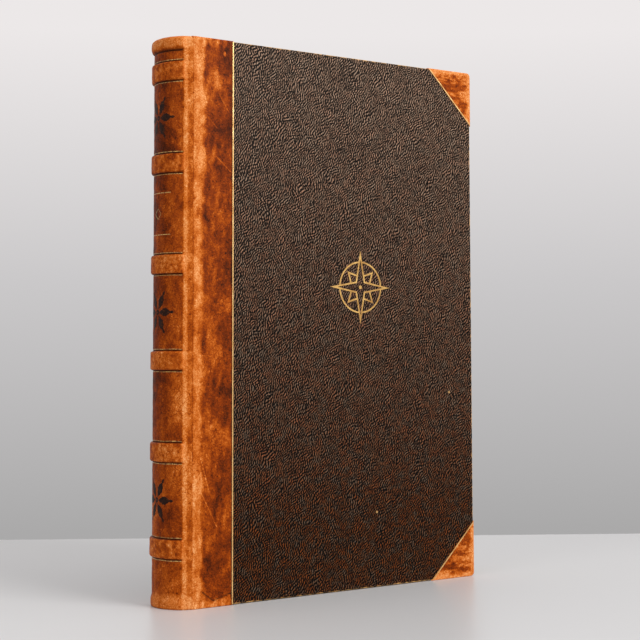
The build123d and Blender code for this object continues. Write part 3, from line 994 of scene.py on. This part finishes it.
def grained_cloth():
    """Pressed long-grain bookcloth: ridges from band noise, hue from slow noise.

    Valleys and tops both get a painted sheen, paler and greyer up the height. The edges and two
    specks are worn bare."""
    material, node, inputs = new_material("pressed_grain_bookcloth", 0.4, 0.06)
    place = object_place(node)
    slow = node("TexNoise", place, Scale=1 / TWIST_MM, Detail=1.5, out="Color")
    shift = node("VectorMath SCALE", slow, Scale=GRAIN_WANDER)
    twisted = node("VectorMath ADD", place, shift)
    lying = node("VectorRotate", twisted, (0.0, 0.0, 0.0), (1.0, 0.0, 0.0), math.pi / 2,
                 rotation_type="AXIS_ANGLE")
    longer = node("VectorMath MULTIPLY", lying, (1.0, 0.8, 0.0))
    band = node("TexGabor", longer, Scale=1 / GRAIN_MM, Frequency=2.0, Anisotropy=0.4,
                gabor_type="2D", out="Value")
    band.node.inputs["Orientation 2D"].default_value = math.radians(GRAIN_TURN)
    fibre = node("TexNoise", place, Scale=1 / FIBRE_MM, Detail=2.0, Roughness=0.6)
    ridge = node("MapRange", node("Math MULTIPLY_ADD", fibre, 0.22, band), 0.61, 0.76)
    hue = node("TexNoise", place, Scale=1 / HUE_MM, Detail=4.0, Roughness=0.7)
    # painted sheen: valleys and tops are mixed towards paler, greyer colours towards the head
    lightened = node("MapRange", node("SeparateXYZ", place, out="Z"), 60.0, 440.0, 0.0, SHEEN_MOST)
    top = node("MixRGB", lightened, node("ValToRGB", hue, stops=CLOTH_TOP), tint("c4a68e"))
    valley = node("MixRGB", lightened, tint("030100"), tint("140b06"))
    colour = node("MixRGB", ridge, valley, top)
    ragged = node("Math MULTIPLY_ADD", hue, -3.6, edge_distance(node, place))
    worn = node("MapRange", ragged, -1.0, -0.5, 0.9, 0.0)
    for spot in SPECKS:
        away = node("VectorMath DISTANCE", place, spot, out="Value")
        speck = node("MapRange", away, SPECK_MM * 0.5, SPECK_MM, 0.9, 0.0)
        worn = node("Math MAXIMUM", worn, speck)
    colour = node("MixRGB", worn, colour, tint("d2a468"))
    return finish_material(material, node, inputs, colour, ridge, 0.45, 0.9)


def dress(material, *names):
    """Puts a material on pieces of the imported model."""
    for name in names:
        piece = nodes[name]
        if not piece.material_slots:
            piece.data.materials.append(material)
        for slot in piece.material_slots:
            slot.material = material
    print(material.name, "on", ", ".join(names))


dress(grained_cloth(), "front_side_cloth", "rear_side_cloth")
dress(corner_calf, *(f"{side}_corner_{end}" for side, _ in SIDES for end in ("head", "tail")))

# %% [markdown]
# ## Gold leaf
#
# Real gold, beaten thin and pressed on with heat. It shines like the metal, but in the
# cloth's grain and on the worn leather it breaks up and lets the brown through.

# %% gold materials
def gold_leaf(name, worn, under, dull="a9793a", bright="e0b56a"):
    """Gold that gives way to the colour under it where a noise is lower than worn."""
    material, node, inputs = new_material(name, 0.36)
    place = object_place(node)
    breaks = node("TexNoise", place, Scale=1 / 1.6, Detail=4.0, Roughness=0.65)
    kept = node("MapRange", breaks, worn, worn + 0.12)
    shade = node("TexNoise", place, Scale=1 / 9, Detail=2.0)
    gold = node("ValToRGB", shade, stops=((0.3, dull), (0.7, bright)))
    colour = node("MixRGB", kept, tint(under), gold)
    metallic = node("Math MULTIPLY", kept, 0.6)
    material.node_tree.links.new(metallic, inputs["Metallic"])
    return finish_material(material, node, inputs, colour, breaks, 0.1, 0.25)


edge_gold = gold_leaf("gold_leaf_on_leather_edge", 0.28, "a85f28", "be8c4a", "f2cc8a")
dress(gold_leaf("gold_leaf_on_cloth", 0.26, "3a2412"), "front_ornament")
dress(edge_gold, "front_gilt_fillets", "rear_gilt_fillets")
gold_lines.data.materials.append(gold_leaf("gold_leaf_on_back", 0.42, "6a3a12"))

# %% [markdown]
# ## Scorched tooling
#
# Hot brass without gold burns the damp calf nearly black, unevenly, so that brown shows
# through. Its colour and bump follow one noise, as those of all the plain materials do.

# %% scorched calf
FOXING_MM = 28.0


def mottled(name, size_mm, stops, roughness, depth_mm, stretch=(1.0, 1.0, 1.0), specular=0.3,
            foxing=0.0):
    """A surface whose colour and bump both follow one noise, with slow darker foxing on top."""
    material, node, inputs = new_material(name, roughness, specular)
    place = object_place(node)
    squeezed = node("VectorMath MULTIPLY", place, stretch)
    grain = node("TexNoise", squeezed, Scale=1 / size_mm, Detail=5.0, Roughness=0.7)
    colour = node("ValToRGB", grain, stops=stops)
    spots = node("TexNoise", place, Scale=1 / FOXING_MM, Detail=5.0, Roughness=0.65)
    spotted = node("MapRange", spots, 0.5, 0.78, 0.0, foxing)
    colour = node("MixRGB", spotted, colour, tint(stops[0][1]))
    return finish_material(material, node, inputs, colour, grain, depth_mm, 0.6)


scorched = mottled("scorched_calf", 2.0, ((0.35, "160702"), (0.74, "7a4010"), (0.57, "2c1205")),
                   0.5, 0.3, specular=0.1)
flowers.data.materials.append(scorched)
print("scorched calf on", flowers.name)

# %% [markdown]
# ## Paper, card, board and linen
#
# The leaves' trimmed edges are hundreds of sheets on end. A sheet is a tenth of a millimetre,
# too fine to show, so the lines are drawn several times as coarse, and change only through
# the thickness. The endpapers are heavier, yellowed and foxed. The rest is seen only when the
# book is taken apart: each piece gets the dull colour and faint grain of its stock.

# %% paper, card, board and linen
THROUGH_THICKNESS = (0.015, 1.0, 0.015)
leaves = mottled("trimmed_paper_edges", 0.5, ((0.3, "8a7048"), (0.7, "e2d5b0"), (0.5, "c8b488")),
                 0.85, 0.3, THROUGH_THICKNESS, 0.2, 0.6)
endpaper = mottled("aged_endpaper", 1.8, ((0.3, "c2ac7e"), (0.7, "dccca4")), 0.9, 0.05, foxing=0.7)
PLAIN = (
    # brown kraft paper, glued over the tapes: matt, with a soft mottle of fibres
    ("kraft_lining", 1.2, "8a6a42", "a98a5c", 0.9, 0.1, ["spine_lining"]),
    # rolled manila card: yellower than the kraft and smoother
    ("manila_card", 1.0, "9a8256", "b39c6e", 0.85, 0.1, ["spine_inlay"]),
    # board milled from rope and waste paper: grey, hard and flecked
    ("milled_board", 0.9, "6f675a", "8b8375", 0.9, 0.1, ["front_board", "rear_board"]),
    # pasted filler card: the colour of cheap paper
    ("filler_card", 1.0, "b0a07c", "c4b691", 0.9, 0.1, ["front_infill", "rear_infill"]),
    # strips of undyed leather under the calf: flat brown, with a coarse grain
    ("band_core_leather", 1.4, "7a5230", "96693e", 0.8, 0.15,
     [f"raised_band_{n}" for n in range(1, 7)]))
# woven linen tape: pale threads that run up the back
linen = mottled("linen_tape", 0.6, ((0.3, "b4a684"), (0.7, "dcd2b6")), 0.85, 0.15, (1.0, 1.0, 0.3))
dress(leaves, "text_block")
dress(endpaper, *(f"{side}_{sheet}" for side, _ in SIDES for sheet in ("flyleaf", "pastedown")))
for fold in paper_folds:
    fold.data.materials.append(endpaper)
for skin, inside in linings:
    skin.data.materials.append(endpaper)
    line_inside(skin, inside)
dress(linen, *(f"sewing_tape_{n}" for n in range(1, 6)))
for name, size_mm, dark, light, roughness, depth_mm, pieces in PLAIN:
    stops = ((0.3, dark), (0.7, light))
    dress(mottled(name, size_mm, stops, roughness, depth_mm), *pieces)

# %% [markdown]
# ## Wound silk
#
# The endbands' silk is spun, undyed and madder red. A thread has a soft sheen across it. The
# colour changes with the count of turns that is painted on the mesh, so it stays on the beads.

# %% silk material
TURNS_OF_A_COLOUR = 3


def wound_silk():
    """Silk thread in two colours that change every three turns, with a thread's sheen."""
    material, node, inputs = new_material("wound_silk", 0.45)
    inputs["Sheen Weight"].default_value = 0.4
    turn_count = node("Attribute", attribute_name="turn", out="Fac")
    pairs = node("Math MULTIPLY", turn_count, 0.5 / TURNS_OF_A_COLOUR)
    which = node("MapRange", node("Math FRACT", pairs), 0.49, 0.51)
    fade = node("TexNoise", object_place(node), Scale=1 / 3, Detail=3.0)
    cream = node("MixRGB", fade, tint("c9b184"), tint("e0cfa6"))
    red = node("MixRGB", fade, tint("6a2a1c"), tint("8a3f2a"))
    return finish_material(material, node, inputs, node("MixRGB", which, cream, red), fade, 0.05)


silk = wound_silk()
head_silk.data.materials.append(silk)
tail_silk.data.materials.append(silk)
print("materials:", len(bpy.data.materials))

# %% [markdown]
# ## Camera
#
# The camera's place, turn and lens were fitted to the cover's four edges. The verticals
# hardly converge, so the picture is framed with a lens shift and not by tilting the camera.

# %% camera
CAMERA_MM = (-731.35, -1077.99, 204.39)
CAMERA_YAW = 0.6386
CAMERA_PITCH = 0.0669
CAMERA_ROLL = -0.0048
LENS_MM = 84.075
SHIFT = (-0.0908, -0.1092)


def stand(made, axes, place):
    """Puts a camera or lamp in the scene: its axes are the matrix's columns, place in metres."""
    matrix = np.eye(4)
    matrix[:3, :3] = np.stack(axes, axis=1)
    matrix[:3, 3] = place
    made.matrix_world = Matrix(matrix.tolist())
    bpy.context.scene.collection.objects.link(made)


forward = np.array([math.sin(CAMERA_YAW), math.cos(CAMERA_YAW), 0.0])
upright = np.array([0.0, 0.0, 1.0])
to_right = np.array([math.cos(CAMERA_YAW), -math.sin(CAMERA_YAW), 0.0])
ahead = forward * math.cos(CAMERA_PITCH) + upright * math.sin(CAMERA_PITCH)
over = upright * math.cos(CAMERA_PITCH) - forward * math.sin(CAMERA_PITCH)
view_right = to_right * math.cos(CAMERA_ROLL) + over * math.sin(CAMERA_ROLL)
view_up = over * math.cos(CAMERA_ROLL) - to_right * math.sin(CAMERA_ROLL)
camera_data = bpy.data.cameras.new("camera")
camera_data.lens = LENS_MM
camera_data.shift_x, camera_data.shift_y = SHIFT
camera = bpy.data.objects.new("camera", camera_data)
stand(camera, (view_right, view_up, -ahead), np.array(CAMERA_MM) * MM)
bpy.context.scene.camera = camera
print("lens", round(camera_data.lens, 2), "mm")

# %% [markdown]
# ## Table
#
# A pale lacquered top that rolls over its far edge, behind the book. Its satin finish gives
# the book a faint reflection. Its colour holds painted light: paler on the left, where the
# lamps leave it in shade, and greyer on the right.

# %% table
TABLE_YAW = 0.5979
TABLE_END = 1669.1
TABLE_SIDE = 2200.0
TABLE_FRONT = -1500.0
TABLE_EDGE = 6.0
TABLE_THICKNESS = 60.0
TABLE_STEPS = 30
TABLE_ACROSS = 12
TABLE_PAINTED_LIGHT = ((0.2, "d2d1d0"), (0.8, "c4c3c3"))


def table_top():
    """A flat top that rolls over its far edge: a profile along the view, carried sideways."""
    bend = np.radians(np.linspace(0, 90, 8))
    roll_start = TABLE_END - TABLE_EDGE
    reach = np.concatenate([np.linspace(TABLE_FRONT, roll_start - 1, TABLE_STEPS),
                            roll_start + TABLE_EDGE * np.sin(bend), [TABLE_END]])
    drop = np.concatenate([np.zeros(TABLE_STEPS), -TABLE_EDGE * (1 - np.cos(bend)),
                           [-TABLE_THICKNESS]])
    aside, n = grid(np.linspace(-TABLE_SIDE, TABLE_SIDE, TABLE_ACROSS), np.arange(len(reach)))
    x = CAMERA_MM[0] + math.sin(TABLE_YAW) * reach[n] + math.cos(TABLE_YAW) * aside
    y = CAMERA_MM[1] + math.cos(TABLE_YAW) * reach[n] - math.sin(TABLE_YAW) * aside
    return np.stack([x, y, drop[n]], axis=-1)


top_grid = table_top()
table = build_mesh("table", top_grid, grid_faces(*top_grid.shape[:2], False))
satin, node, inputs = new_material("satin_table", 0.34, 0.4)
sideways = node("VectorMath DOT_PRODUCT", object_place(node), tuple(to_right),
                out="Value")
# painted light: the top is drawn paler to the left and greyer to the right
painted_light_ramp = node("ValToRGB", node("MapRange", sideways, -700.0, 700.0), stops=TABLE_PAINTED_LIGHT)
finish_material(satin, node, inputs, painted_light_ramp, 0.0, 0.0)
table.data.materials.append(satin)
print("table:", len(table.data.polygons), "faces")

# %% [markdown]
# ## Lamps and room
#
# The lamps are large, so that shadows are soft. The room lights the book with a plain grey,
# but the eye, a reflection and a clear piece see a pale backdrop that darkens downwards.

# %% lamps and room
BOOK_MIDDLE = (0.0, 0.0, 0.23)
ROOM_LIGHT = 0.6


def lamp(name, place, size, power):
    """A square soft lamp at place in metres, aimed at the book's middle."""
    data = bpy.data.lights.new(name, "AREA")
    data.shape = "SQUARE"
    data.size = size
    data.energy = power
    back = np.array(place) - np.array(BOOK_MIDDLE)
    back /= np.linalg.norm(back)
    aside = np.cross(upright, back)
    aside /= np.linalg.norm(aside)
    stand(bpy.data.objects.new(name, data), (aside, np.cross(back, aside), back), place)


lamp("key", (0.55, -2.0, 1.35), 1.2, 40.0)
lamp("side", (-2.2, -0.6, 0.9), 1.0, 9.0)
lamp("top", (0.2, -0.3, 1.9), 1.4, 10.0)

world = bpy.data.worlds.new("room")
bpy.context.scene.world = world
world.use_nodes = True
world.node_tree.nodes.clear()
node = functools.partial(add_node, world.node_tree)
view_height = node("SeparateXYZ", node("TexCoord", out="Generated"), out="Z")
seen = node("ValToRGB", node("MapRange", view_height, -0.117, 0.208),
            stops=((0.0, "aaa9a9"), (1.0, "ece8e8"), (0.5, "cac8c9")))
lit = node("ValToRGB", node("MapRange", view_height, -0.5, 0.9),
           stops=((0.0, "6a6a6a"), (1.0, "f4f4f6")))
shown = node("LightPath", out="Is Camera Ray")
for ray in ("Is Glossy Ray", "Is Transmission Ray"):
    shown = node("Math MAXIMUM", shown, node("LightPath", out=ray))
mixed = node("MixShader", shown, node("Background", lit, ROOM_LIGHT), node("Background", seen))
node("OutputWorld", Surface=mixed)
bpy.context.scene.view_settings.view_transform = "Standard"
print("lamps:", len(bpy.data.lights))
